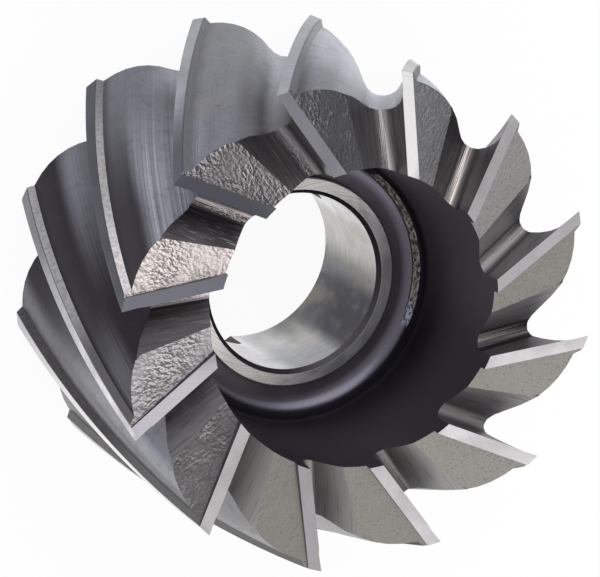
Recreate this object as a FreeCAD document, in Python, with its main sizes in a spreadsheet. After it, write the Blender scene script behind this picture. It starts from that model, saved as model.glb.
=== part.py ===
import FreeCAD, Part
import Sketcher
import math
import os

doc = FreeCAD.newDocument("shell_end_mill")

# Sizes of the cutter, in millimetres and degrees
dim = doc.addObject("Spreadsheet::Sheet", "dim")
table = [
    # the whole cutter
    ("cutter_diameter", 69.85),
    ("cutter_width", 41.275),
    ("tooth_count", 12),
    ("helix_angle", 29.6),
    ("first_tooth", 22.5),
    # bore, seat ring and the recess around it
    ("bore_diameter", 25.4),
    ("bore_bearing", 19.05),
    ("back_chamfer", 1.0),
    ("mouth_chamfer", 0.6),
    ("ring_diameter", 30.1625),
    ("ring_rise", 0.8),
    ("ring_edge", 0.2),
    ("recess_mouth", 42.1),
    ("recess_root", 38.8),
    ("recess_fillet", 3.0),
    # teeth around the outside
    ("margin_width", 0.25),
    ("land_width", 1.9),
    ("land_relief", 6.0),
    ("bevel_across", 0.6),
    ("bevel_drop", 0.95),
    ("flute_depth", 6.675),
    ("gullet_radius", 3.4),
    ("gullet_turn", 142.74),
    ("back_bulge", 0.1272),
    ("flute_rake", 16.0),
    # teeth across the cutting end
    ("end_rake", 14.7),
    ("dish_angle", 2.0),
    ("end_land", 1.75),
    ("end_relief", 7.0),
    ("end_step", 0.3),
    ("end_back_slope", 12.0),
    ("end_back_dish", 4.5),
    ("gash_depth", 6.5),
    ("gash_rise", 7.0),
    ("gash_slope", 35.0),
    ("gash_corner", 1.5),
    # drive slot across the back
    ("slot_width", 9.525),
    ("slot_depth", 5.556),
    ("slot_corner", 0.8),
    # how far the cuts run past the blank
    ("overrun", 3.0),
]
row = 1
for name, value in table:
    dim.set("A%d" % row, name)
    dim.set("B%d" % row, str(value))
    dim.setAlias("B%d" % row, name)
    row += 1
doc.recompute()

body = doc.addObject("PartDesign::Body", "cutter_body")
body.Label = "cutter_body"


def base_feature(role):
    """The body's own base plane or axis with this role."""
    for item in body.Origin.OriginFeatures:
        if item.Role == role:
            return item
    raise RuntimeError("no base feature " + role)


def new_sketch(name, role):
    """An empty sketch of the body on one of its base planes."""
    sketch = body.newObject("Sketcher::SketchObject", name)
    sketch.AttachmentSupport = [(base_feature(role), "")]
    sketch.MapMode = "FlatFace"
    return sketch


def number(words):
    """The present value of an expression."""
    value = dim.evalExpression(words)
    return float(getattr(value, "Value", value))


def place(across, up):
    """A point of a sketch from two expressions."""
    return FreeCAD.Vector(number(across), number(up), 0)


def line(sketch, start, stop):
    """A straight side between two points."""
    return sketch.addGeometry(Part.LineSegment(start, stop), False)


def arc(sketch, centre, start, stop):
    """An arc drawn counterclockwise from start to stop."""
    round_edge = Part.Circle(centre, FreeCAD.Vector(0, 0, 1),
                             centre.distanceToPoint(start))
    first = math.atan2(start.y - centre.y, start.x - centre.x)
    second = math.atan2(stop.y - centre.y, stop.x - centre.x)
    return sketch.addGeometry(Part.ArcOfCircle(round_edge, first, second), False)


def join(sketch, first, first_end, second, second_end):
    """Two edges share a corner."""
    sketch.addConstraint(Sketcher.Constraint(
        "Coincident", first, first_end, second, second_end))


def hold(sketch, kind, where, words):
    """A size of the sketch that follows an expression."""
    count = sketch.addConstraint(Sketcher.Constraint(
        kind, *where, number(words)))
    sketch.setExpression("Constraints[%d]" % count, words)


def pin(sketch, edge, end, across, up):
    """One end of an edge stands at two expressions."""
    hold(sketch, "DistanceX", (-1, 1, edge, end), across)
    hold(sketch, "DistanceY", (-1, 1, edge, end), up)


def closed_outline(sketch, corners):
    """Straight sides through corners that stand at expressions."""
    count = len(corners)
    sides = []
    for k in range(count):
        after = corners[(k + 1) % count]
        sides.append(line(sketch, place(*corners[k]), place(*after)))
    for k in range(count):
        join(sketch, sides[k], 2, sides[(k + 1) % count], 1)
        pin(sketch, sides[k], 1, *corners[k])
    return sides


def facets(centre, radius, start, turn, count):
    """Corners of a round drawn as short flats, all as expressions."""
    found = []
    for k in range(count + 1):
        way = "(%s + %s * %d / %d)" % (start, turn, k, count)
        found.append(("%s + %s * cos(%s)" % (centre[0], radius, way),
                      "%s + %s * sin(%s)" % (centre[1], radius, way)))
    return found


def check_cut(cut, before):
    """Stop if a cut took nothing away or spoiled the solid."""
    if not cut.Shape.isValid() or cut.Shape.Volume > before.Shape.Volume - 1:
        raise RuntimeError(cut.Name + " did not cut")


# Turned blank
# A plain round blank as wide as the cutter, with the back face on the base
# plane and the cutting end on top.
outside = "dim.cutter_diameter / 2"
end = "dim.cutter_width"
disc = new_sketch("blank_circle", "XY_Plane")
rim = disc.addGeometry(Part.Circle(
    FreeCAD.Vector(0, 0, 0), FreeCAD.Vector(0, 0, 1), number(outside)), False)
join(disc, rim, 3, -1, 1)
hold(disc, "Radius", (rim,), outside)
blank = body.newObject("PartDesign::Pad", "blank")
blank.Profile = disc
blank.setExpression("Length", end)
doc.recompute()

# Bore and recess
# Half section of what is bored out: the arbor bore with a chamfer at both
# ends, the raised ground ring round its mouth that the arbor screw bears on,
# the floor beside it, and the large fillet up to the tapered wall.
bore = "dim.bore_diameter / 2"
ring = "dim.ring_diameter / 2"
seat = "dim.bore_bearing"
floor = "(dim.bore_bearing - dim.ring_rise)"
taper = ("atan((dim.recess_mouth - dim.recess_root) / 2"
         " / (dim.cutter_width - dim.bore_bearing + dim.ring_rise))")
leg = "(dim.recess_fillet / tan(45 deg + %s / 2))" % taper
fillet_centre = ("dim.recess_root / 2 - " + leg, floor + " + dim.recess_fillet")
corners = [
    ("0", "-dim.overrun"),
    (bore + " + dim.back_chamfer + dim.overrun", "-dim.overrun"),
    (bore, "dim.back_chamfer"),
    (bore, seat + " - dim.mouth_chamfer"),
    (bore + " + dim.mouth_chamfer", seat),
    (ring + " - dim.ring_edge", seat),
    (ring, seat + " - dim.ring_edge"),
    (ring, floor),
]
corners += facets(fillet_centre, "dim.recess_fillet", "-90 deg",
                  "(90 deg - %s)" % taper, 5)
corners += [
    ("dim.recess_mouth / 2 + dim.overrun * tan(%s)" % taper, end + " + dim.overrun"),
    ("0", end + " + dim.overrun"),
]
hollow = new_sketch("hollow_section", "XZ_Plane")
closed_outline(hollow, corners)
bored = body.newObject("PartDesign::Groove", "bore_and_recess")
bored.Profile = hollow
bored.ReferenceAxis = (base_feature("Z_Axis"), [""])
bored.Angle = 360
doc.recompute()
check_cut(bored, blank)

# Helical flutes
# Section of one gap between teeth, square to the axis. It runs from the
# cutting edge down the rake face, round the gullet, over the humped back of
# the tooth ahead, up its bevel to its ground land, and stops short of its
# edge, so that a thin cylindrical margin stays there.
gap = new_sketch("flute_section", "XY_Plane")
pitch = "(360 deg / dim.tooth_count)"
arc_angle = "(%s / (dim.cutter_diameter / 2) * 180 deg / pi)"
slide = ("((dim.flute_depth - dim.gullet_radius * (1 + sin(dim.flute_rake)))"
         " / cos(dim.flute_rake))")
edge_point = (outside, "0")
gullet_centre = (outside + " - dim.flute_depth + dim.gullet_radius",
                 "-%s * sin(dim.flute_rake) + dim.gullet_radius * cos(dim.flute_rake)" % slide)
heel_radius = "(%s - dim.land_width * tan(dim.land_relief))" % outside
heel_angle = "(%s - %s)" % (pitch, arc_angle % "dim.land_width")
foot_radius = "(%s - dim.bevel_drop)" % heel_radius
foot_angle = "(%s - %s)" % (pitch, arc_angle % "(dim.land_width + dim.bevel_across)")
margin_angle = "(%s - %s)" % (pitch, arc_angle % "dim.margin_width")
far = "(%s + dim.overrun)" % outside


def polar(radius, angle):
    """Two expressions for a point at a radius and an angle."""
    return ("%s * cos(%s)" % (radius, angle), "%s * sin(%s)" % (radius, angle))


bevel_foot = polar(foot_radius, foot_angle)
heel = polar(heel_radius, heel_angle)
margin = polar("(%s)" % outside, margin_angle)
margin_out = polar(far, margin_angle)
edge_out = (far, "0")

# The gullet turns clockwise from the foot of the rake face, and the back of
# the tooth swells from there to the foot of the bevel.
gullet = facets(gullet_centre, "dim.gullet_radius", "(dim.flute_rake * 1 deg - 90 deg)",
                "(-1 deg * dim.gullet_turn)", 8)
back_corners = []
back_flats = 6
run = ["(%s - (%s))" % (bevel_foot[k], gullet[-1][k]) for k in range(2)]
for k in range(1, back_flats):
    part = "%d / %d" % (k, back_flats)
    swell = "4 * dim.back_bulge * %s * %d / %d" % (part, back_flats - k, back_flats)
    back_corners.append(("%s + %s * %s + %s * %s" % (gullet[-1][0], part, run[0], swell, run[1]),
                 "%s + %s * %s - %s * %s" % (gullet[-1][1], part, run[1], swell, run[0])))
closed_outline(gap, [edge_point] + gullet + back_corners
               + [bevel_foot, heel, margin, margin_out, edge_out])
lead = "(pi * dim.cutter_diameter / tan(dim.helix_angle))"
gap.setExpression(
    "AttachmentOffset",
    "create(<<placement>>; create(<<vector>>; 0; 0; -dim.overrun);"
    " create(<<rotation>>; create(<<vector>>; 0; 0; 1);"
    " dim.first_tooth - (dim.cutter_width + dim.overrun) / %s * 360))" % lead)
doc.recompute()

flute = body.newObject("PartDesign::SubtractiveHelix", "flute")
flute.Profile = gap
flute.ReferenceAxis = (base_feature("Z_Axis"), [""])
flute.Mode = 0
flute.LeftHanded = False
flute.Refine = False
flute.setExpression("Pitch", lead)
flute.setExpression("Height", "dim.cutter_width + 2 * dim.overrun")
doc.recompute()

flutes = body.newObject("PartDesign::PolarPattern", "flutes")
flutes.Refine = False
flutes.Originals = [flute]
flutes.Axis = (base_feature("Z_Axis"), [""])
flutes.Angle = 360
flutes.setExpression("Occurrences", "dim.tooth_count")
body.Tip = flutes
doc.recompute()
check_cut(flute, bored)
check_cut(flutes, flute)

# End teeth
# Three cuts run along the end edge of the first tooth, from outside the
# cutter to inside the recess. Each section stands square to that edge, with
# the edge at its origin, the open side of the tooth to the right and the
# ground land to the left.
mouth = "dim.recess_mouth / 2"
edge_offset = "(%s * sin(dim.end_rake))" % outside
edge_length = ("(%s * cos(dim.end_rake) - sqrt((%s) ^ 2 - %s ^ 2))"
               % (outside, mouth, edge_offset))
way = "(dim.first_tooth + dim.end_rake)"


def end_section(name, tilt):
    """A sketch square to the end edge, outside the cutter, tilted to it."""
    sketch = new_sketch(name, "YZ_Plane")
    reach = "dim.overrun * cos(%s)" % tilt
    sketch.setExpression(
        "AttachmentOffset",
        "create(<<placement>>; create(<<vector>>;"
        " %s * sin(dim.first_tooth) + %s * sin(%s);"
        " dim.cutter_width + dim.overrun * sin(%s);"
        " %s * cos(dim.first_tooth) + %s * cos(%s));"
        " create(<<rotation>>; create(<<vector>>; 0; 1; 0); %s)"
        " * create(<<rotation>>; create(<<vector>>; 1; 0; 0); -%s))"
        % (outside, reach, way, tilt, outside, reach, way, way, tilt))
    return sketch


def end_cut(name, sketch):
    """A cut from the sketch inwards, past the mouth of the recess."""
    cut = body.newObject("PartDesign::Pocket", name)
    cut.Refine = False
    cut.Profile = sketch
    cut.setExpression("Length", edge_length + " + 3 * dim.overrun")
    doc.recompute()
    return cut


# Gash: an upright wall under the cutting edge, a rounded bottom and a wall
# that slopes up to the tooth ahead. It is deepest at the outside.
gash = end_section("gash_section", "(-dim.gash_rise)")
bottom = "dim.gash_corner - dim.gash_depth"
wall_foot = ("0", bottom)
slope_foot = ("dim.gash_corner * (1 + sin(dim.gash_slope))",
              "%s - dim.gash_corner * cos(dim.gash_slope)" % bottom)
slope_top = ("%s + (dim.overrun - (%s)) / tan(dim.gash_slope)" % slope_foot, "dim.overrun")
wall_top = ("0", "dim.overrun")
wall = line(gash, place(*wall_top), place(*wall_foot))
round_bottom = arc(gash, place("dim.gash_corner", bottom), place(*wall_foot), place(*slope_foot))
slope = line(gash, place(*slope_foot), place(*slope_top))
lid = line(gash, place(*slope_top), place(*wall_top))
join(gash, wall, 2, round_bottom, 1)
join(gash, round_bottom, 2, slope, 1)
join(gash, slope, 2, lid, 1)
join(gash, lid, 2, wall, 1)
pin(gash, wall, 1, *wall_top)
pin(gash, wall, 2, *wall_foot)
pin(gash, slope, 1, *slope_foot)
pin(gash, slope, 2, *slope_top)
hold(gash, "Radius", (round_bottom,), "dim.gash_corner")
doc.recompute()
gash_cut = end_cut("gash", gash)

# Ground land of the end tooth, relieved behind its edge and dished towards
# the recess.
relief = end_section("end_land_section", "dim.dish_angle")
behind = "(-dim.end_land - dim.end_step)"
closed_outline(relief, [
    ("dim.end_step", "0"),
    ("dim.end_step", "dim.overrun"),
    (behind, "dim.overrun"),
    (behind, "%s * tan(dim.end_relief)" % behind),
    ("0", "0"),
])
doc.recompute()
relief_cut = end_cut("end_land", relief)

# Unground back of the end tooth, one step below the land. It ends in the
# gash of the tooth behind.
back = end_section("end_back_section", "dim.end_back_dish")
spacing = ("((%s) * sin(%s + asin(%s / (%s))) - %s)"
           % (mouth, pitch, edge_offset, mouth, edge_offset))
step_foot = "(-dim.end_land * tan(dim.end_relief) - dim.end_step)"
last_reach = "(0.95 * %s)" % spacing
closed_outline(back, [
    ("-dim.end_land", "dim.overrun"),
    ("-" + last_reach, "dim.overrun"),
    ("-" + last_reach,
     "%s - (%s - dim.end_land) * tan(dim.end_back_slope)" % (step_foot, last_reach)),
    ("-dim.end_land", step_foot),
])
doc.recompute()
back_cut = end_cut("end_back", back)

end_teeth = body.newObject("PartDesign::PolarPattern", "end_teeth")
end_teeth.Refine = False
end_teeth.Originals = [gash_cut, relief_cut, back_cut]
end_teeth.Axis = (base_feature("Z_Axis"), [""])
end_teeth.Angle = 360
end_teeth.setExpression("Occurrences", "dim.tooth_count")
body.Tip = end_teeth
doc.recompute()
check_cut(gash_cut, flutes)
check_cut(relief_cut, gash_cut)
check_cut(back_cut, relief_cut)
check_cut(end_teeth, back_cut)

# Drive slot
# A slot right across the back for the keys of the arbor, with rounded inner
# corners.
half = "dim.slot_width / 2"
slot = new_sketch("slot_section", "YZ_Plane")
inner = "(%s - dim.slot_corner)" % half
low = "(dim.slot_depth - dim.slot_corner)"
points = [
    ("-" + half, "-dim.overrun"),
    (half, "-dim.overrun"),
    (half, low),
    (inner, "dim.slot_depth"),
    ("-" + inner, "dim.slot_depth"),
    ("-" + half, low),
]
places = [place(*point) for point in points]
sides = []
for k in range(len(points)):
    after = (k + 1) % len(points)
    if k == 2:
        sides.append(arc(slot, place(inner, low), places[k], places[after]))
    elif k == 4:
        sides.append(arc(slot, place("-" + inner, low), places[k], places[after]))
    else:
        sides.append(line(slot, places[k], places[after]))
for k in range(len(points)):
    join(slot, sides[k], 2, sides[(k + 1) % len(points)], 1)
    pin(slot, sides[k], 1, *points[k])
hold(slot, "Radius", (sides[2],), "dim.slot_corner")
hold(slot, "Radius", (sides[4],), "dim.slot_corner")
doc.recompute()
slot_cut = body.newObject("PartDesign::Pocket", "drive_slot")
slot_cut.Refine = False
slot_cut.Profile = slot
slot_cut.Midplane = True
slot_cut.setExpression("Length", "dim.cutter_diameter + 2 * dim.overrun")
doc.recompute()
check_cut(slot_cut, end_teeth)

for item in doc.Objects:
    if "Invalid" in item.State or "Error" in item.State:
        raise RuntimeError("failed: " + item.Name)
shape = body.Shape
if shape.isNull() or not shape.isValid() or len(shape.Solids) != 1:
    raise RuntimeError("cutter_body is not one valid solid")
os.makedirs("parts", exist_ok=True)
shape.exportStep("parts/cutter_body.step")
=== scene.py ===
import bpy
import bmesh
import math
from mathutils import Matrix, Vector


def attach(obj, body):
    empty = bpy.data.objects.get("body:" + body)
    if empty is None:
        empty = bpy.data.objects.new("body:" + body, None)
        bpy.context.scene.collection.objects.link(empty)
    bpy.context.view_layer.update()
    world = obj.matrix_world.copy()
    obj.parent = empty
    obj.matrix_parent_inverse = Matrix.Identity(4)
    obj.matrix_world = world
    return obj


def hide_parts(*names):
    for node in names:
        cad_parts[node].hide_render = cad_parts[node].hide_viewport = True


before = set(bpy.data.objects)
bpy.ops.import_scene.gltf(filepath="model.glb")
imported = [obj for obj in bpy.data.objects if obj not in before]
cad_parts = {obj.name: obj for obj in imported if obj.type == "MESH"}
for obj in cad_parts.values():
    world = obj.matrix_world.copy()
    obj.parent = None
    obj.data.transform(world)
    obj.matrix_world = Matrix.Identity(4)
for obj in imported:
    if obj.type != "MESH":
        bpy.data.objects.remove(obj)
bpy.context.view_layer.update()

# The blank: a short round of high-speed steel, turned, milled, hardened and
# ground. It is one piece, so one mesh carries every finish that follows, and
# the whole cutter keeps the solid's own form.
SAME_POINT = 1e-7

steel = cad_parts["cutter_body"].data.copy()
steel.name = "cutter"
steel.materials.clear()
welder = bmesh.new()
welder.from_mesh(steel)
bmesh.ops.remove_doubles(welder, verts=welder.verts, dist=SAME_POINT)
bmesh.ops.recalc_face_normals(welder, faces=welder.faces)
welder.to_mesh(steel)
welder.free()
cutter = bpy.data.objects.new("cutter", steel)
bpy.context.scene.collection.objects.link(cutter)

# The bore: reamed and then ground on a mandrel to the size of the arbor, with
# faint rings round it and soft stains. Its tone is painted lighter and darker
# by direction round the axis as painted reflections, with painted highlights
# that make it the brightest surface. Directions are degrees round the axis,
# seen from the cutting end.
BORE = 0.0127
HAIR = 0.00005
UPRIGHT = 0.2
finishes = []


class Signal:
    """One output of a shader node. Sums on it add Math nodes."""

    def __init__(self, socket):
        self.socket = socket
        self.tree = socket.id_data

    def node(self, kind, settings, sockets, out=0):
        """Any other node, from its type, settings and socket values."""
        made = self.tree.nodes.new(kind)
        for name, value in settings.items():
            setattr(made, name, value)
        for name, value in sockets.items():
            if isinstance(value, Signal):
                self.tree.links.new(value.socket, made.inputs[name])
            else:
                made.inputs[name].default_value = value
        return Signal(made.outputs[out])

    def maths(self, operation, *others, first=None):
        """A Math node on this output, or on a number before it."""
        terms = (self, *others) if first is None else (first, self)
        return self.node("ShaderNodeMath", {"operation": operation}, dict(enumerate(terms)))

    def __add__(self, other):
        return self.maths("ADD", other)

    __radd__ = __add__

    def __sub__(self, other):
        return self.maths("SUBTRACT", other)

    def __rsub__(self, other):
        return self.maths("SUBTRACT", first=other)

    def __mul__(self, other):
        return self.maths("MULTIPLY", other)

    __rmul__ = __mul__

    def __mod__(self, other):
        return self.maths("FLOORED_MODULO", other)

    def step(self, low, high, to_low=0.0, to_high=1.0):
        """A soft step that is to_low at low and to_high at high."""
        return self.node("ShaderNodeMapRange", {"interpolation_type": "SMOOTHSTEP"},
                         {"Value": self, "From Min": low, "From Max": high,
                          "To Min": to_low, "To Max": to_high})

    def tint(self, first, second):
        """A colour between two, by this amount."""
        mix = {"Factor": self}
        for slot, colour in ((6, first), (7, second)):
            mix[slot] = colour if isinstance(colour, Signal) else (*colour, 1)
        return self.node("ShaderNodeMix", {"data_type": "RGBA"}, mix, out=2)

    def grain(self, scale, detail=2.0, rough=0.5):
        """Noise over this place, where scale counts grains per metre."""
        return self.node("ShaderNodeTexNoise", {},
                         {"Vector": self, "Scale": scale, "Detail": detail,
                          "Roughness": rough})


def steel_finish(name):
    """A new finish of the cutter: its place in metres and its shader."""
    material = bpy.data.materials.new(name)
    material.use_nodes = True
    shader = material.node_tree.nodes["Principled BSDF"]
    shader.inputs["Metallic"].default_value = 1.0
    place = Signal(shader.outputs["BSDF"]).node("ShaderNodeTexCoord", {}, {}, out="Object")
    steel.materials.append(material)
    finishes.append(name)
    return place, shader


def parts_of(place):
    """X, Y and Z of a place."""
    apart = place.node("ShaderNodeSeparateXYZ", {}, {"Vector": place})
    return [Signal(out) for out in apart.socket.node.outputs]


def joined(x, y, z):
    """Three amounts as one vector."""
    maker = next(item for item in (x, y, z) if isinstance(item, Signal))
    return maker.node("ShaderNodeCombineXYZ", {}, {"X": x, "Y": y, "Z": z})


def polar(place):
    """Distance from the axis, angle round it, and height."""
    x, y, z = parts_of(place)
    return (x * x + y * y).maths("SQRT"), y.maths("ARCTAN2", x), z


def near(angle, degrees, far, close):
    """1 where an angle is near a direction and 0 far from it. Far and close
    are cosines of the angle between them."""
    return (angle - math.radians(degrees)).maths("COSINE").step(far, close)


def set_finish(shader, colour, rough, relief, depth):
    """Colour, roughness and a bump of some metres go to the shader."""
    bump = relief.node("ShaderNodeBump", {}, {"Height": relief, "Distance": depth})
    for socket, value in (("Base Color", colour), ("Roughness", rough), ("Normal", bump)):
        shader.id_data.links.new(value.socket, shader.inputs[socket])


place, shader = steel_finish("ground_bore")
angle, height = polar(place)[1:]
rings = joined(0, 0, height * 9000.0).grain(1.0, 3.0)
rubs = joined(angle * 5.0, 0, height * 1600.0).grain(1.0, 4.0)
stains = joined(angle * 1.8, 0, height * 90.0).grain(1.0, 3.0)
hue = joined(angle * 2.4 + 7.0, 0, height * 120.0).grain(1.0, 3.0)
# Painted reflections: painted highlights near 148 and 164 degrees.
tone = near(angle, 148, 0.80, 0.985).tint((0.20, 0.195, 0.185), (0.60, 0.57, 0.545))
tone = near(angle, 164, 0.955, 0.99).tint(tone, (0.80, 0.79, 0.79))
# Near 44 degrees a painted light low in the bore, darker higher up.
side = height.step(0.002, 0.017).tint((0.62, 0.62, 0.60), (0.335, 0.34, 0.355))
tone = near(angle, 44, 0.80, 0.96).tint(tone, side)
# A painted shade low in the bore near 66 degrees.
painted_low_shade = near(angle, 66, 0.94, 0.99) * height.step(0.010, 0.001)
tone = painted_low_shade.tint(tone, (0.20, 0.20, 0.21))
# A painted highlight near 0 degrees.
tone = (near(angle, 0, 0.80, 0.97) * 0.9).tint(tone, (0.92, 0.90, 0.95))
tone = (stains.step(0.45, 0.72) * 0.45).tint(tone, (0.13, 0.13, 0.135))
tone = (rubs.step(0.35, 0.75) * 0.25).tint(tone, (0.10, 0.095, 0.085))
# A painted dark reflection near 86 degrees.
painted_dark_reflection = near(angle, 86, 0.90, 0.975) * height.step(0.004, 0.0115, 0.68, 0.95)
tone = painted_dark_reflection.tint(tone, (0.034, 0.033, 0.045))
tone = (hue.step(0.52, 0.70) * 0.25).tint(tone, (0.30, 0.33, 0.40))
tone = (hue.step(0.48, 0.32) * 0.22).tint(tone, (0.46, 0.42, 0.33))
set_finish(shader, tone, stains * 0.12 + 0.22, rings, 0.000002)

# The seat ring round the bore's mouth: faced flat for the screw's head. The
# grinding wheel leaves fine curved lines that cross it. It is painted lighter
# and darker by direction round the axis as painted light and shade, with a
# painted highlight along its edge at the mouth.
RING = 0.01508125
RING_TOP = 0.01905
RING_LIP = 0.00025
RING_FROM = 0.01325
MOUTH_CHAMFER = 0.0007

place, shader = steel_finish("ground_ring")
away, angle = polar(place)[:2]
lines = joined(away * 5200.0 + angle * 26.0, 0, 0).grain(1.0, 3.0)
wear = joined(angle * 2.6, away * 500.0, 0).grain(1.0, 4.0)
painted_rim_highlight = 1 - away.step(BORE + MOUTH_CHAMFER - 0.00004, BORE + MOUTH_CHAMFER + 0.00008)
worn = wear.step(0.42, 0.62) * near(angle, 95, -0.2, 0.5) * 0.4 + wear.step(0.45, 0.65) * 0.12
# Painted light and shade: lighter and darker by direction round the axis.
tone = near(angle, 95, 0.0, 0.75).tint((0.95, 0.90, 0.87), (0.42, 0.41, 0.44))
tone = (near(angle, -150, 0.3, 0.9) * 0.6).tint(tone, (0.52, 0.50, 0.49))
tone = worn.tint(tone, (0.15, 0.15, 0.16))
tone = (lines.step(0.45, 0.65) * 0.40).tint(tone, (0.10, 0.10, 0.105))
# A painted highlight along the edge at the mouth.
tone = (painted_rim_highlight * 0.55).tint(tone, (0.62, 0.63, 0.66))
set_finish(shader, tone, wear * 0.2 + 0.28, lines, 0.000004)

# The recess for the arbor screw: bored and left with its black heat-treated
# skin, an oxide that isn't bare metal. The skin is thinner on the floor and
# the large fillet, which carries a painted sheen, a painted highlight, with
# a worn crust above it. A few sides are painted lighter by direction round
# the axis as painted light.
RECESS_FLOOR = 0.01825
RECESS_WALL = 0.0213
FILLET_TOP = 0.0215

place, shader = steel_finish("black_recess")
shader.inputs["Specular IOR Level"].default_value = 0.22
away, angle, height = polar(place)
skin = joined(angle * 3.0, away * 200.0, height * 120.0).grain(1.0, 3.0).step(0.3, 0.75)
turned = joined(0, away * 3000.0, height * 3000.0).grain(1.0, 2.0)
fillet = away.step(0.0158, 0.0186) * (1 - height.step(0.0196, 0.0213))
bare = 1 - height.step(0.0204, 0.0218)
shader.id_data.links.new(bare.socket, shader.inputs["Metallic"])
thin = skin.tint((0.068, 0.059, 0.073), (0.088, 0.077, 0.094))
# Painted light on the thinner skin near -15 degrees.
thin = near(angle, -15, 0.80, 0.97).tint(thin, (0.125, 0.113, 0.132))
thick = skin.tint((0.0130, 0.0082, 0.0150), (0.0158, 0.0108, 0.0180))
# Painted light on the thicker skin near 160 degrees.
thick = near(angle, 160, 0.45, 0.95).tint(thick, (0.062, 0.048, 0.062))
crust = joined(angle * 26.0, away * 2200.0, height * 2200.0).grain(1.0, 4.0, 0.6)
band = (away.step(0.01812, 0.01836) * (1 - away.step(0.01885, 0.01908))
        * (1 - height.step(0.0203, 0.0208)) * crust.step(0.30, 0.48)
        * near(angle, 134, 0.77, 0.83))
crumbs = crust.step(0.38, 0.66).tint((0.10, 0.092, 0.080), (0.40, 0.37, 0.32))
crumbs = near(angle, 99, 0.985, 0.998).tint(crumbs, (0.38, 0.42, 0.50))
# The fillet's pale bluish tone is a painted sheen, a painted highlight over its own reflection.
tone = (fillet * 0.9).tint(bare.tint(thick, thin), (0.094, 0.091, 0.114))
tone = band.tint(tone, crumbs)
# Painted light on the mouth of the bore near 70 degrees.
mouth = (1 - away.step(0.01318, 0.01328)) * near(angle, 70, 0.72, 0.95)
tone = mouth.tint(tone, (0.115, 0.105, 0.108))
set_finish(shader, tone, 0.42 - fillet * 0.15 + band * 0.25,
           turned + band * crust * 30.0, 0.000006)

# The flutes: milled with a form cutter along the helix and then hardened.
# The milling marks run with the helix as fine streaks, on a satin skin that
# is painted blue-grey on the lit flutes and nearly black on the shaded ones,
# as painted light and shade by direction round the axis. Teeth are called
# by the clock, as the camera sees the cutting end.
WIDTH = 0.041275
RADIUS = 0.034925
TOOTH_COUNT = 12
TOOTH = 2 * math.pi / TOOTH_COUNT
FIRST_TOOTH = math.radians(22.5)
LEAD = 2 * math.pi * RADIUS / math.tan(math.radians(29.6))
ONE_TOOTH = (0.955, 0.985)
FLUTE_BACKS = (40, 10, -20, -51, -81, -111, -141, -171)


def helix(angle, height):
    """The angle where the helix through a point meets the cutting end, and
    how far that is past the tooth edge before it."""
    front = angle + (WIDTH - height) * (2 * math.pi / LEAD)
    return front, (front - FIRST_TOOTH) % TOOTH


place, shader = steel_finish("milled_flute")
angle, height = polar(place)[1:]
front, turn = helix(angle, height)
five, six, seven, eight, nine, ten, eleven, twelve = (
    near(front, way, *ONE_TOOTH) for way in FLUTE_BACKS)
streaks = joined(front * 170.0, height * 9.0, 0).grain(1.0, 4.0, 0.7)
drawn = streaks.step(0.36, 0.64)
lanes = joined(front * 34.0, height * 5.0, 0).grain(1.0, 2.0)
skin = place.grain(600.0, 5.0, 0.65)
clouds = place.grain(130.0, 2.0)
specks = place.grain(2600.0, 2.0)

# How much painted light each flute gets: each flute is painted lighter and
# darker by its direction round the axis, as painted light and shade. Rise
# and climb go up from the back face to the cutting end. Gullet is the
# bottom of the flute, hollow the bed beyond it, crest and lobe the hump of
# the tooth back, and shade its sheltered heel; each of these zones is
# painted lighter and darker as painted light and shade.
rise = height.step(0.008, 0.026)
climb = height.step(0.002, 0.030)
gullet = 1 - turn.step(0.10, 0.30)
crest = turn.step(0.25, 0.33)
hollow = turn.step(0.10, 0.17) * turn.step(0.29, 0.22) * height.step(0.002, 0.012)
shade = (turn + rise * 0.035 + height.step(0.022, 0.034) * 0.022).step(0.31, 0.385)
lobe = (turn - (1 - climb) * 0.05).step(0.25, 0.33)
light = ten * (0.345 + gullet * (0.45 - height.step(0.002, 0.038) * 0.68)
               - hollow * (0.18 - height.step(0.026, 0.036) * 0.10)
               + turn.step(0.36, 0.42) * height.step(0.024, 0.032) * 0.08)
light = light + eleven * (1.05 - height.step(0.018, 0.038) * 0.55
                          - crest * (0.10 + rise * 0.08)
                          - turn.step(0.37, 0.45) * rise * 0.30)
light = light + twelve * 0.9
light = light + nine * (shade * (0.28 - climb * 0.26) + (1 - shade) * (0.30 + rise * 0.19)
                        + gullet * height.step(0.010, 0.002) * 0.3
                        - turn.step(0.20, 0.06) * height.step(0.020, 0.034) * 0.35)
light = light + eight * ((1 - crest) * (1 - climb) * (0.38 - gullet * 0.26)
                         + crest * height.step(0.026, 0.038) * 0.13)
light = light + seven * (lobe * (0.30 + rise * 0.08) + (1 - lobe) * (0.035 + climb * 0.36)
                         + turn.step(0.24, 0.30) * turn.step(0.38, 0.33) * rise * 0.24
                         + turn.step(0.37, 0.41) * rise * 0.11 - gullet * rise * 0.12)
light = light + six * 0.50 + five * 0.7
light = light + near(front, 110, 0.30, 0.7) * 0.16 + 0.004

# The streaks and a painted shade line in front of the bevel come over that,
# then the skin, and rust and pits where the flute at ten was rubbed.
painted_bevel_shade = near(front, -50, 0.50, 0.86)
grained = near(front, -68, 0.72, 0.90) * height.step(0.010, 0.026, 0.25, 1.0)
neutral = near(front, 10, 0.80, 0.93)
rubbed = near(front, -114, 0.88, 0.97)
light = light * (0.86 + clouds * 0.24 + (drawn - 0.5) * (0.05 + grained * 0.46))
light = light + lanes.step(0.48, 0.62) * drawn * light * grained * 0.4
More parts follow.
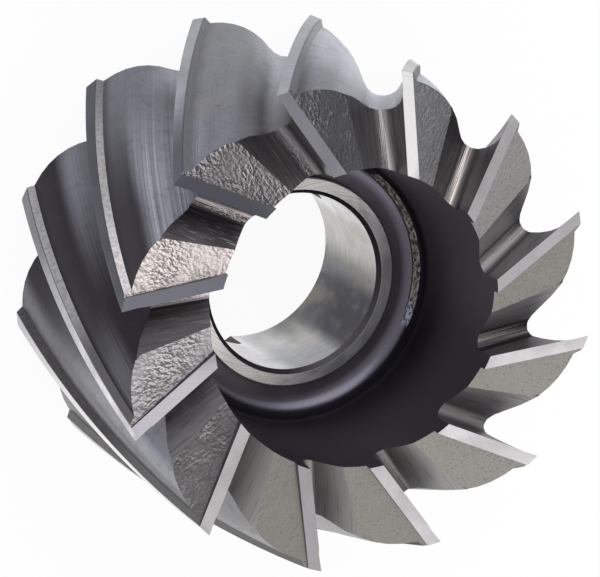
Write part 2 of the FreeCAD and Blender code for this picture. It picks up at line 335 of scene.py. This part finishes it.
# A painted shade line in front of the bevel.
light = light * (1 - turn.step(0.405, 0.445) * (0.16 + painted_bevel_shade * (0.44 - neutral * 0.30)))
satin = neutral.tint((0.488, 0.514, 0.590), (0.52, 0.515, 0.53))
tone = light.tint((0.023, 0.0185, 0.025), satin)
tone = ((1 - streaks.step(0.33, 0.44)) * (0.04 + grained * 0.42)).tint(
    tone, (0.026, 0.023, 0.027))
tone = (skin.step(0.50, 0.72) * 0.26).tint(tone, (0.05, 0.047, 0.052))
tone = (specks.step(0.52, 0.72) * (0.12 + near(front, -114, 0.80, 0.95) * 0.14)).tint(
    tone, (0.05, 0.047, 0.050))
rust = place.grain(150.0, 4.0, 0.6).step(0.50, 0.70) * rubbed
tone = (rust * 0.45).tint(tone, (0.235, 0.222, 0.205))
pits = (place.grain(1500.0, 2.0) + rubbed * 0.05).step(0.73, 0.78)
tone = (pits * 0.6).tint(tone, (0.02, 0.018, 0.02))
set_finish(shader, tone, 0.30 + skin * 0.16,
           streaks * (0.2 + grained * 0.6) + skin * 0.5 - pits * 1.2, 0.00001)

# The outer lands and margins: ground last, on centres, and they carry fine
# lines square to the edge. Each land is painted lighter and darker by its
# direction round the axis as painted light and shade, with a painted
# highlight on the lands near 6 degrees.
LAND_FOOT = 0.0346
ONE_LAND = (0.97, 0.99)

place, shader = steel_finish("ground_land")
angle, height = polar(place)[1:]
front, turn = helix(angle, height)
lines = joined(angle * 70.0 + height * 11000.0, front * 14.0, 0).grain(1.0, 4.0, 0.6)
soft = joined(angle * 6.0, 0, height * 120.0).grain(1.0, 3.0)
painted_highlight = near(front, 6, 0.93, 0.965)
at_eight, at_nine, at_ten, at_twelve = (
    near(front, way, *ONE_LAND) for way in (-39, -69, -99, -159))
# Painted light and shade, land by land by direction round the axis.
tone = near(front, -114, 0.80, 0.97).tint((0.19, 0.195, 0.215), (0.37, 0.385, 0.43))
tone = (at_ten * height.step(0.020, 0.036)).tint(tone, (0.075, 0.08, 0.10))
tone = at_nine.tint(tone, (0.055, 0.058, 0.073))
climbing = height.step(0.006, 0.034).tint((0.25, 0.25, 0.27), (0.95, 0.93, 0.95))
tone = at_eight.tint(tone, climbing)
# A painted highlight near 6 degrees, growing towards the cutting end.
climbing = height.step(0.0, 0.022).tint((0.62, 0.61, 0.63), (1.0, 0.99, 0.99))
tone = painted_highlight.tint(tone, climbing)
tone = at_twelve.tint(tone, (0.60, 0.59, 0.61))
tone = (soft.step(0.35, 0.7) * (0.35 - painted_highlight * 0.22)).tint(tone, (0.12, 0.125, 0.145))
tone = (lines.step(0.42, 0.68) * (0.38 - painted_highlight * 0.22)).tint(tone, (0.09, 0.09, 0.105))
edge_line = turn.step(0.4655, 0.4690) * turn.step(0.4795, 0.4735)
tone = (edge_line * (0.88 - painted_highlight * 0.65)).tint(tone, (0.055, 0.052, 0.06))
set_finish(shader, tone, 0.28 + lines * 0.14, lines, 0.000008)

# The bevel behind each outer land: a narrow milled strip that clears the
# heel. It keeps a dull pinkish grey skin, painted lighter and darker tooth
# by tooth by direction round the axis as painted light and shade, with a
# painted highlight high on the tooth at nine.
BEVEL_FOOT = 0.0337
LAND_AND_BEVEL = 0.0025
BEVEL_SPARE = 0.002

place, shader = steel_finish("bevel_strip")
angle, height = polar(place)[1:]
front = helix(angle, height)[0]
bites = place.grain(1800.0, 4.0, 0.6)
at_seven, at_eight, at_nine = (near(front, way, *ONE_LAND) for way in (-11, -41, -71))
at_six, at_ten = near(front, 19, 0.93, 0.98), near(front, -101, 0.93, 0.98)
at_eleven = near(front, -131, 0.90, 0.97)
# Painted light and shade by direction round the axis.
tone = near(front, -71, 0.80, 0.95).tint((0.060, 0.056, 0.062), (0.43, 0.42, 0.425))
tone = (at_nine * height.step(0.018, 0.002) * 0.75).tint(tone, (0.15, 0.155, 0.175))
tone = (at_nine * height.step(0.022, 0.036) * 0.8).tint(tone, (0.82, 0.78, 0.79))
tone = at_ten.tint(tone, (0.135, 0.138, 0.16))
climbing = height.step(0.010, 0.034).tint((0.27, 0.28, 0.31), (0.095, 0.10, 0.12))
tone = at_eleven.tint(tone, climbing)
climbing = height.step(0.020, 0.030).tint((0.36, 0.355, 0.365), (0.115, 0.11, 0.118))
tone = at_eight.tint(tone, climbing)
tone = (at_seven * height.step(0.020, 0.032)).tint(tone, (0.15, 0.147, 0.148))
tone = at_six.tint(tone, (0.18, 0.175, 0.175))
tone = (bites.step(0.35, 0.7) * 0.45).tint(tone, (0.13, 0.12, 0.125))
set_finish(shader, tone, bites * 0.2 + 0.34, bites, 0.000012)

# The lands of the end teeth: ground with a cup wheel, which leaves fine
# slanting lines, and the cleanest surfaces on the cutting end. Each land is
# painted lighter and darker by its direction round the axis as painted light
# and shade, and one land near -160 degrees carries a painted glare, nearly
# white.
END_RAKE = math.radians(14.7)
END_DISH = math.radians(7.0)
END_LANDS_FROM = 0.038
END_LANDS_LOOK_UP = 0.986
BEFORE_EDGE = 0.2


def from_edge(away, angle, height):
    """Across, along and above the end edge of the tooth before a point."""
    own = (angle - FIRST_TOOTH + BEFORE_EDGE) % TOOTH - BEFORE_EDGE
    ahead = away * own.maths("COSINE") - RADIUS
    beside = away * own.maths("SINE")
    across = beside * math.cos(END_RAKE) - ahead * math.sin(END_RAKE)
    along = ahead * math.cos(END_RAKE) + beside * math.sin(END_RAKE)
    return across, along, height - WIDTH + along * math.tan(END_DISH)


place, shader = steel_finish("end_land")
away, angle, height = polar(place)
across, along = from_edge(away, angle, height)[:2]
lines = joined(across * 4600.0 + along * 3900.0, 0, 0).grain(1.0, 4.0, 0.7)
soft = place.grain(160.0, 3.0)
scores = joined(across * 900.0 - along * 2600.0, along * 160.0, 0).grain(1.0).step(0.66, 0.72)
# A painted glare, nearly white, on the land near -160 degrees.
painted_glare = near(angle, -160, 0.965, 0.99)
at_two, at_six = near(angle, 142, 0.80, 0.92), near(angle, 18, 0.93, 0.985)
at_eight, at_ten = near(angle, -44, *ONE_TOOTH), near(angle, -97, 0.84, 0.985)
at_nine, at_eleven = near(angle, -68, 0.93, 0.99), near(angle, -128, 0.93, 0.99)
tone = soft.step(0.3, 0.7).tint((0.56, 0.535, 0.55), (0.41, 0.39, 0.40))
# Painted light and shade, land by land by direction round the axis.
tone = (at_eight * 0.7).tint(tone, (0.80, 0.785, 0.85))
tone = (at_six * 0.7).tint(tone, (0.29, 0.285, 0.30))
tone = (at_two * 0.5).tint(tone, (0.27, 0.265, 0.28))
tone = at_ten.tint(tone, (0.155, 0.155, 0.192))
tone = (at_nine + at_eleven * 0.7).tint(tone, (0.30, 0.305, 0.355))
tone = painted_glare.tint(tone, (1.0, 0.98, 0.98))
tone = (lines.step(0.4, 0.72) * (0.28 - painted_glare * 0.16)).tint(tone, (0.15, 0.15, 0.165))
tone = (scores * 0.3).tint(tone, (0.40, 0.40, 0.42))
set_finish(shader, tone, 0.26 + lines * 0.12, lines, 0.000006)

# The backs of the end teeth: never ground, with the lumpy scale of the
# forging and the grit of the blast that cleaned it. Each lump is painted
# paler on one side and darker on the other as painted light and shade, and
# each tooth is painted lighter and darker by its direction round the axis.
PAINTED_LIGHT_SHIFT = 0.00013
ROUGH_BACKS_FROM = 0.036
ROUGH_BACKS_LOOK_UP = 0.93


def patched(tone, angle, patches):
    """The tone with painted light and shade on single teeth, each by its direction."""
    for degrees, colour in patches.items():
        tone = near(angle, degrees, *ONE_TOOTH).tint(tone, colour)
    return tone


def lumpiness(rolled, shift):
    """Height of the lumps, over a place moved a little across the tooth."""
    moved = rolled.node("ShaderNodeVectorMath", {"operation": "ADD"},
                        {0: rolled, 1: (shift, shift * 0.5, 0)})
    return moved.grain(2400.0, 4.0, 0.58)


place, shader = steel_finish("rough_back")
away, angle, height = polar(place)
across, along, above = from_edge(away, angle, height)
rolled = joined(across, along * 0.6, above)
lumps = lumpiness(rolled, 0.0)
# Painted light and shade: the lumps' height less their height a little way off gives each lump a
# lit and a shaded side.
painted_relief = (lumps - lumpiness(rolled, PAINTED_LIGHT_SHIFT)).step(-0.085, 0.085)
grit = place.grain(6500.0, 2.0)
pits = place.node("ShaderNodeTexVoronoi", {}, {"Vector": place, "Scale": 1500.0}).step(0.12, 0.30)
# How strongly the lumps stand out, in the bump and in the painted shade, by direction round the
# axis.
lumps_and_painted_shade = (near(angle, -78, 0.0, 0.75) * 0.95 + near(angle, -173, 0.93, 0.98) * 0.3
          + near(angle, 160, 0.5, 0.95) * 0.10 + 0.13)
lumps_and_painted_shade = lumps_and_painted_shade * place.grain(260.0, 2.0).step(0.30, 0.62, 0.45, 1.0)
# Painted light and shade, tooth by tooth by direction round the axis.
tone = near(angle, -160, 0.45, 0.9).tint((0.235, 0.222, 0.205), (0.125, 0.125, 0.132))
tone = patched(tone, angle, {
    -113: (0.205, 0.200, 0.205),  # ten
    -143: (0.105, 0.104, 0.112),  # eleven
    -173: (0.20, 0.20, 0.208),    # twelve
    157: (0.29, 0.282, 0.277),    # one
    -83: (0.80, 0.72, 0.70),      # nine
    -53: (0.40, 0.39, 0.405),     # eight
    -23: (0.150, 0.145, 0.150)})  # seven
# Painted shade on the lumps' shaded sides.
tone = ((1 - painted_relief) * lumps_and_painted_shade * 0.74).tint(tone, (0.038, 0.034, 0.037))
# Painted highlights on the lumps' lit sides.
painted_glints = near(angle, -83, 0.5, 0.8) * 0.30 + place.grain(420.0, 2.0).step(0.50, 0.62) * 0.22
tone = (painted_relief.step(0.60, 1.0) * lumps_and_painted_shade * painted_glints).tint(tone, (0.78, 0.74, 0.72))
tone = ((1 - pits) * lumps.step(0.40, 0.60) * 0.42).tint(tone, (0.05, 0.045, 0.045))
tone = (grit.step(0.50, 0.75) * 0.28).tint(tone, (0.08, 0.075, 0.072))
set_finish(shader, tone, 0.44 + grit * 0.15, lumps * lumps_and_painted_shade + grit * 0.12 + pits * 0.12, 0.00022)

# The gashes between the end teeth: cut with a coarse thin wheel; their
# walls are dark with long lines down to the bottom. They are painted
# lighter and darker by direction round the axis and across the gash, as
# painted light and shade.
GASHES_FROM = 0.030

place, shader = steel_finish("gash_wall")
away, angle, height = polar(place)
across, along, above = from_edge(away, angle, height)
lines = joined(across * 3600.0, along * 110.0, above * 3600.0).grain(1.0, 4.0, 0.65)
dashes = joined(across * 7000.0, along * 330.0, above * 7000.0).grain(1.0, 3.0).step(0.60, 0.72)
# Painted light and shade by direction round the axis and across the gash.
spread = across.step(0.0030, 0.0085)
upper = near(angle, 175, 0.25, 0.60)
lower = near(angle, 24, 0.62, 0.85) * (spread * 0.6 + 0.35)
at_one, at_two, at_three = (near(angle, 148, 0.93, 0.985), near(angle, 118, *ONE_TOOTH),
                            near(angle, 88, 0.90, 0.98))
at_seven, at_nine, at_eleven = (near(angle, -30, *ONE_TOOTH), near(angle, -96, 0.90, 0.98),
                                near(angle, -152, *ONE_TOOTH))
tone = place.grain(220.0, 3.0).step(0.3, 0.7).tint((0.082, 0.073, 0.080), (0.055, 0.048, 0.055))
tone = patched(tone, angle, {-62: (0.046, 0.041, 0.045)})  # eight
tone = (upper * (0.95 - spread * 0.65)).tint(tone, (0.20, 0.19, 0.198))
tone = (at_one * (0.9 - spread * 0.7)).tint(tone, (0.42, 0.405, 0.415))
tone = (lines.step(0.56, 0.70) * upper * (0.80 - spread * 0.50)).tint(
    tone, (0.70, 0.665, 0.655))
tone = (at_three * 0.8).tint(tone, (0.20, 0.192, 0.197))
tone = (at_two * 0.5).tint(tone, (0.34, 0.325, 0.335))
tone = (at_eleven * 0.35).tint(tone, (0.27, 0.262, 0.268))
tone = lower.tint(tone, (0.31, 0.30, 0.288))
tone = (at_seven * spread * 0.75).tint(tone, (0.165, 0.16, 0.165))
tone = (lines.step(0.52, 0.72) * 0.38).tint(tone, (0.20, 0.19, 0.185))
tone = (lines.step(0.45, 0.28) * (0.6 - lower * 0.42)).tint(tone, (0.018, 0.016, 0.018))
tone = (dashes * (at_nine * 0.5 + 0.12)).tint(tone, (0.42, 0.39, 0.37))
set_finish(shader, tone, 0.34 + lines * 0.14, lines, 0.000014)

# The round bottom of each gash, painted lighter and darker tooth by tooth
# by direction round the axis as painted light and shade, with a narrow
# painted highlight along the round in a few gashes.
place, shader = steel_finish("gash_bottom")
away, angle, height = polar(place)
across, along, above = from_edge(away, angle, height)
lines = joined(across * 4200.0, along * 90.0, above * 4200.0).grain(1.0, 4.0, 0.6)
inner = 1 - away.step(0.0262, 0.0310)
narrow = across.step(0.0004, 0.0010) * across.step(0.0020, 0.0013)
# The gashes that carry the painted highlight along the round.
gashes_with_painted_streak = (near(angle, 173, 0.975, 0.992) + near(angle, -161, 0.975, 0.992) * 0.55
         + near(angle, -98, 0.94, 0.98) * 0.35)
# Painted light and shade, tooth by tooth by direction round the axis.
tone = near(angle, 170, 0.0, 0.7).tint((0.115, 0.105, 0.11), (0.150, 0.142, 0.148))
tone = patched(tone, angle, {
    112: (0.050, 0.045, 0.050),    # two
    -69: (0.33, 0.32, 0.33),       # eight
    82: (0.19, 0.183, 0.19),       # three
    -129: (0.175, 0.168, 0.174),   # ten
    -159: (0.27, 0.265, 0.27)})    # eleven
tone = (lines.step(0.5, 0.7) * 0.5).tint(tone, (0.24, 0.235, 0.23))
tone = (lines.step(0.45, 0.28) * 0.6).tint(tone, (0.025, 0.022, 0.025))
tone = (inner * narrow * gashes_with_painted_streak * lines.step(0.30, 0.52)).tint(tone, (0.80, 0.72, 0.68))
set_finish(shader, tone, 0.38 + lines * 0.12, lines, 0.000008)

# The back: a flat ground seat, with the wheel's rings round it and a small
# chamfer at the bore.
BACK_SKIN = 0.0001
BACK_CHAMFER = (0.0139, 0.0012)

place, shader = steel_finish("ground_back")
away, angle = polar(place)[:2]
lines = joined(away * 2600.0, angle * 3.0, 0).grain(1.0, 4.0, 0.65)
worn = (lines * 0.7 + place.grain(90.0, 3.0) * 0.3).step(0.32, 0.68)
tone = worn.tint((0.50, 0.50, 0.51), (0.26, 0.265, 0.28))
set_finish(shader, tone, 0.26 + lines * 0.12, lines, 0.000008)

# The drive slot: milled straight across the back in one pass, and left dark,
# with the marks of the cutter along it.
SLOT_DEPTH = 0.0056
SLOT_HALF = 0.0048

place, shader = steel_finish("milled_slot")
x, y, z = parts_of(place)
lines = joined(x * 60.0, y * 2600.0, z * 2600.0).grain(1.0, 3.0)
tone = lines.step(0.3, 0.7).tint((0.085, 0.080, 0.085), (0.035, 0.032, 0.035))
set_finish(shader, tone, 0.34 + lines * 0.14, lines, 0.00001)

# Each face of the cutter gets the finish of the stage that made it. The
# gashes are found from the end edges: the wheel's upright side stands on the
# edge, its corner is round, and its other side slopes up to the next tooth.
GASH_SLOPE = math.radians(35.0)
GASH_ROUND = 0.0015
GASH_CENTRE = 0.0050
GASH_REACH = (-0.002, 0.016)
EDGE_REACH = (-0.018, 0.0005)
WALL_FOOT = -0.0001
SLOPE_FOOT = -0.0013
ROUND_TOP = 0.0001
ROUND_SIDE = 0.0009
ON_PLANE = 0.00002
ON_ROUND = 0.00006
SMOOTH_BELOW = math.radians(24)


def gash_finish(place):
    """The finish of a place in one of the gashes, or None elsewhere."""
    found = None
    for tooth in range(TOOTH_COUNT):
        edge = FIRST_TOOTH + tooth * TOOTH
        tip = Vector((RADIUS * math.cos(edge), RADIUS * math.sin(edge), WIDTH))
        way = edge + END_RAKE
        off = place - tip
        across = off.dot(Vector((-math.sin(way), math.cos(way), 0)))
        outward = off.dot(Vector((math.cos(way), math.sin(way), 0)))
        up = off.z * math.cos(END_DISH) + outward * math.sin(END_DISH)
        if not (GASH_REACH[0] < across < GASH_REACH[1]
                and EDGE_REACH[0] < outward < EDGE_REACH[1]):
            continue
        beside, over = across - GASH_ROUND, up + GASH_CENTRE
        slope = beside * math.sin(GASH_SLOPE) - over * math.cos(GASH_SLOPE)
        if abs(across) < ON_PLANE and over > WALL_FOOT:
            return "gash_wall"
        if abs(slope - GASH_ROUND) < ON_PLANE and over > SLOPE_FOOT:
            return "gash_wall"
        if (abs(math.hypot(beside, over) - GASH_ROUND) < ON_ROUND
                and over < ROUND_TOP and beside < ROUND_SIDE):
            found = "gash_bottom"
    return found


def finish_of(middle, normal):
    """The finish of a face, from where it lies and which way it looks. The
    slot's walls look across it, its floor down and its corners between."""
    away = math.hypot(middle.x, middle.y)
    outward = (normal.x * middle.x + normal.y * middle.y) / away
    if middle.z < BACK_SKIN:
        return "ground_back"
    if middle.z < SLOT_DEPTH and abs(middle.y) < SLOT_HALF and (
            abs(normal.y) > 0.99 or normal.z < -0.5 or abs(normal.x) < 0.02):
        return "milled_slot"
    if away < BORE + HAIR and abs(normal.z) < UPRIGHT:
        return "ground_bore"
    if away < BACK_CHAMFER[0] and middle.z < BACK_CHAMFER[1]:
        return "ground_back"
    in_recess = middle.z > RECESS_FLOOR - HAIR
    if away < RING + 2 * HAIR and in_recess:
        on_ring = middle.z > RING_TOP - RING_LIP and away > RING_FROM
        return "ground_ring" if on_ring else "black_recess"
    if away < RECESS_WALL and in_recess and (outward < -0.9 or middle.z < FILLET_TOP):
        return "black_recess"
    if normal.z > END_LANDS_LOOK_UP and middle.z > END_LANDS_FROM:
        return "end_land"
    if normal.z > ROUGH_BACKS_LOOK_UP and middle.z > ROUGH_BACKS_FROM:
        return "rough_back"
    gash = gash_finish(middle) if middle.z > GASHES_FROM else None
    if gash:
        return gash
    if away > LAND_FOOT:
        return "ground_land"
    front = math.atan2(middle.y, middle.x) + (WIDTH - middle.z) * 2 * math.pi / LEAD
    turn = (front - FIRST_TOOTH) % TOOTH
    bevel_start = TOOTH - LAND_AND_BEVEL / RADIUS - BEVEL_SPARE
    if turn > bevel_start and away > BEVEL_FOOT and outward > 0.3:
        return "bevel_strip"
    return "milled_flute"


for face in steel.polygons:
    face.material_index = finishes.index(finish_of(face.center, face.normal))

edges = bmesh.new()
edges.from_mesh(steel)
for face in edges.faces:
    face.smooth = True
for edge in edges.edges:
    if len(edge.link_faces) == 2:
        first, second = edge.link_faces
        edge.smooth = (first.material_index == second.material_index
                       and first.normal.angle(second.normal, 0.0) < SMOOTH_BELOW)
edges.to_mesh(steel)
edges.free()
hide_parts("cutter_body")
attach(cutter, "root")

# A plain pale floor under the cutter. The camera sees it nearly white, and
# it keeps the cutter's soft shadow.
FLOOR_HALF = 3.0
FLOOR_DROP = 0.00005
FLOOR_PALE = (0.86, 0.86, 0.86, 1)


def rays(start):
    """1 for a ray from the camera, and 1 for any ray that shows background,
    as those that metal and glass send on do too."""
    path = start.node("ShaderNodeLightPath", {}, {}).socket.node.outputs
    camera = Signal(path["Is Camera Ray"])
    sent_on = Signal(path["Is Glossy Ray"]), Signal(path["Is Transmission Ray"])
    return camera, (camera + sent_on[0] + sent_on[1]).maths("MINIMUM", 1.0)


corners = [(x * FLOOR_HALF, y * FLOOR_HALF, 0) for x, y in ((-1, -1), (1, -1), (1, 1), (-1, 1))]
floor_mesh = bpy.data.meshes.new("floor")
floor_mesh.from_pydata(corners, [], [(0, 1, 2, 3)])
floor = bpy.data.objects.new("floor", floor_mesh)
floor.location.z = -FLOOR_DROP
bpy.context.scene.collection.objects.link(floor)
paint = bpy.data.materials.new("pale_floor")
paint.use_nodes = True
shader = paint.node_tree.nodes["Principled BSDF"]
shader.inputs["Base Color"].default_value = FLOOR_PALE
shader.inputs["Roughness"].default_value = 0.8
lit = Signal(shader.outputs["BSDF"])
seen = rays(lit)[1]
white = lit.node("ShaderNodeEmission", {}, {"Color": (1, 1, 1, 1), "Strength": 1.0})
blend = lit.node("ShaderNodeMixShader", {}, {0: seen * 0.94, 1: lit, 2: white})
paint.node_tree.links.new(
    blend.socket, paint.node_tree.nodes["Material Output"].inputs["Surface"])
floor_mesh.materials.append(paint)

# Soft studio light: a pale room with a dark gap above the cutter, one broad
# lamp from the side of the drive slot and a weaker one across from it.
GAP_WAY = Vector((-0.30, 0.44, 0.845)).normalized()
ROOM_LIGHT = 0.75
CUTTER_MIDDLE = Vector((0, 0, 0.02))

scene = bpy.context.scene
room = bpy.data.worlds.new("studio")
room.use_nodes = True
scene.world = room
sky = room.node_tree.nodes["Background"]
start = Signal(sky.outputs["Background"])
facing = start.node("ShaderNodeTexCoord", {}, {}, out="Generated")
towards = facing.node("ShaderNodeVectorMath", {"operation": "DOT_PRODUCT"},
                      {0: facing, 1: GAP_WAY}, out=1)
camera_ray, seen = rays(start)
shown = 1 - towards.step(0.93, 0.985) * 0.8 * (1 - camera_ray)
strength = seen * shown + (1 - seen) * ROOM_LIGHT
sky.inputs["Color"].default_value = (1, 1, 1, 1)
room.node_tree.links.new(strength.socket, sky.inputs["Strength"])


def lamp(name, where, size, power):
    """A square soft lamp that faces the cutter."""
    light = bpy.data.lights.new(name, "AREA")
    light.size = size
    light.energy = power
    stand = bpy.data.objects.new(name, light)
    stand.location = where
    stand.rotation_euler = (CUTTER_MIDDLE - Vector(where)).to_track_quat("-Z", "Y").to_euler()
    scene.collection.objects.link(stand)


lamp("broad_lamp", (-0.75, -0.35, 0.75), 1.0, 6.0)
lamp("fill_lamp", (0.6, 0.55, 0.55), 0.8, 3.0)

# The camera looks into the cutting end at the photograph's angle, from where
# the sides of the picture run along these two directions.
PICTURE_RIGHT = Vector((-0.485224, 0.777062, 0.400914))
PICTURE_UP = Vector((-0.873788, -0.413907, -0.255295))
CAMERA_PLACE = Vector((-0.01894, -0.28169, 0.5439))

lens = bpy.data.cameras.new("camera")
lens.sensor_width = 36.0
lens.lens = 256.92
lens.clip_start = 0.01
camera = bpy.data.objects.new("camera", lens)
backward = PICTURE_RIGHT.cross(PICTURE_UP)
facing = Matrix((PICTURE_RIGHT, PICTURE_UP, backward)).transposed().to_4x4()
camera.matrix_world = Matrix.Translation(CAMERA_PLACE) @ facing
scene.collection.objects.link(camera)
scene.camera = camera
scene.view_settings.view_transform = "Standard"
